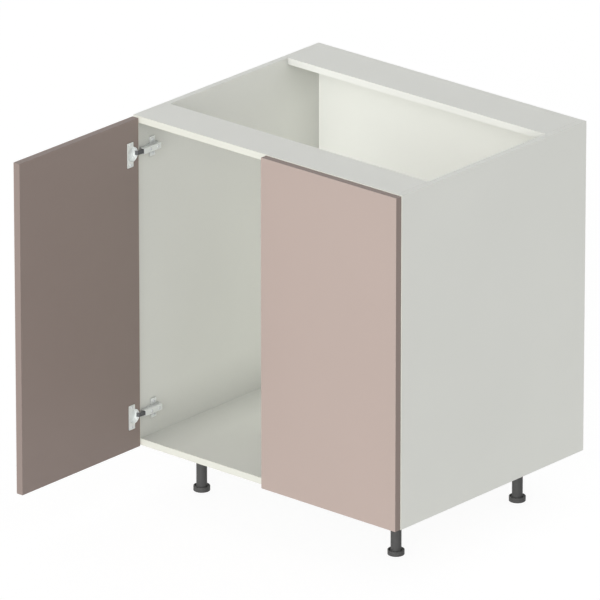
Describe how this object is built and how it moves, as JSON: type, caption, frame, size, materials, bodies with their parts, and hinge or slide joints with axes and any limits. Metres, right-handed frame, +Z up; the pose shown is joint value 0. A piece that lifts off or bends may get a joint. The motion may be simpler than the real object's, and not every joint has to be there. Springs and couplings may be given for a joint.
{
  "type": "sink base cabinet",
  "caption": "Frameless kitchen base cabinet, open at the top for a sink between two rails, with overlay doors on concealed hinges and levelling legs.",
  "frame": {"origin": "on the floor, under the middle of the box that the cabinet fills with its left door open at a right angle", "axes": "+X to the right as seen from the front, +Y to the rear, +Z up"},
  "size_m": [0.8, 1.046, 0.92],
  "materials": {
    "carcass_board": "white melamine, satin",
    "edge_band": "satin ABS edging",
    "back_board": "white melamine, satin",
    "door_board": "taupe melamine, satin",
    "door_edge_band": "satin ABS edging",
    "door_front": "pink-beige laminate, satin",
    "hinge_steel": "nickel-plated pressed steel",
    "screw_steel": "zinc-plated steel",
    "beech": "plain beech",
    "zinc_fitting": "die-cast zinc",
    "leg_plastic": "black moulded plastic"
  },
  "bodies": {
    "carcass": {"back_panel": "back_board", "back_rail": "carcass_board", "bottom_banding": "edge_band", "bottom_panel": "carcass_board", "cam_bolts": "screw_steel", "cam_locks": "zinc_fitting", "dowels": "beech", "front_left_leg_socket": "leg_plastic", "front_left_leg_tube": "leg_plastic", "front_rail": "carcass_board", "front_rail_banding": "edge_band", "front_right_leg_socket": "leg_plastic", "front_right_leg_tube": "leg_plastic", "hinge_adjusting_screws": "screw_steel", "hinge_arm_pins": "screw_steel", "hinge_plate_screws": "screw_steel", "left_side_banding": "edge_band", "left_side_panel": "carcass_board", "leg_socket_screws": "screw_steel", "lower_left_hinge_arm": "hinge_steel", "lower_left_hinge_plate": "hinge_steel", "lower_right_hinge_arm": "hinge_steel", "lower_right_hinge_plate": "hinge_steel", "rear_left_leg_socket": "leg_plastic", "rear_left_leg_tube": "leg_plastic", "rear_right_leg_socket": "leg_plastic", "rear_right_leg_tube": "leg_plastic", "right_side_banding": "edge_band", "right_side_panel": "carcass_board", "upper_left_hinge_arm": "hinge_steel", "upper_left_hinge_plate": "hinge_steel", "upper_right_hinge_arm": "hinge_steel", "upper_right_hinge_plate": "hinge_steel"},
    "left_links": {"lower_left_hinge_link": "hinge_steel", "upper_left_hinge_link": "hinge_steel"},
    "left_door": {"left_door_core": "door_board", "left_door_facing": "door_front", "left_door_edging": "door_edge_band", "lower_left_hinge_cup": "hinge_steel", "upper_left_hinge_cup": "hinge_steel", "left_cup_screws": "screw_steel", "left_cup_pins": "screw_steel"},
    "right_links": {"lower_right_hinge_link": "hinge_steel", "upper_right_hinge_link": "hinge_steel"},
    "right_door": {"right_door_core": "door_board", "right_door_facing": "door_front", "right_door_edging": "door_edge_band", "lower_right_hinge_cup": "hinge_steel", "upper_right_hinge_cup": "hinge_steel", "right_cup_screws": "screw_steel", "right_cup_pins": "screw_steel"},
    "front_left_foot_body": {"front_left_foot": "leg_plastic"},
    "front_right_foot_body": {"front_right_foot": "leg_plastic"},
    "rear_left_foot_body": {"rear_left_foot": "leg_plastic"},
    "rear_right_foot_body": {"rear_right_foot": "leg_plastic"}
  },
  "joints": [
    {"name": "left_link_pivot", "type": "hinge", "parent": "carcass", "child": "left_links", "pos_m": [-0.3725, -0.11193, 0.5185], "axis": [0, 0, 1], "range_deg": [-46.79, 5.2]},
    {"name": "left_door_pivot", "type": "hinge", "parent": "left_links", "child": "left_door", "pos_m": [-0.3795, -0.1319, 0.5185], "axis": [0, 0, -1], "range_deg": [-136.79, 15.2]},
    {"name": "right_link_pivot", "type": "hinge", "parent": "carcass", "child": "right_links", "pos_m": [0.3725, -0.11193, 0.5185], "axis": [0, 0, -1], "range_deg": [0, 51.99]},
    {"name": "right_door_pivot", "type": "hinge", "parent": "right_links", "child": "right_door", "pos_m": [0.39185, -0.1205, 0.5185], "axis": [0, 0, 1], "range_deg": [0, 151.99]},
    {"name": "front_left_foot_screw", "type": "slide", "parent": "carcass", "child": "front_left_foot_body", "axis": [0, 0, -1], "range_m": [0, 0.02]},
    {"name": "front_right_foot_screw", "type": "slide", "parent": "carcass", "child": "front_right_foot_body", "axis": [0, 0, -1], "range_m": [0, 0.02]},
    {"name": "rear_left_foot_screw", "type": "slide", "parent": "carcass", "child": "rear_left_foot_body", "axis": [0, 0, -1], "range_m": [0, 0.02]},
    {"name": "rear_right_foot_screw", "type": "slide", "parent": "carcass", "child": "rear_right_foot_body", "axis": [0, 0, -1], "range_m": [0, 0.02]}
  ],
  "couplings": [
    {"joint": "left_link_pivot", "follows": "left_door_pivot", "ratio": 0.34206},
    {"joint": "right_link_pivot", "follows": "right_door_pivot", "ratio": 0.34206}
  ]
}
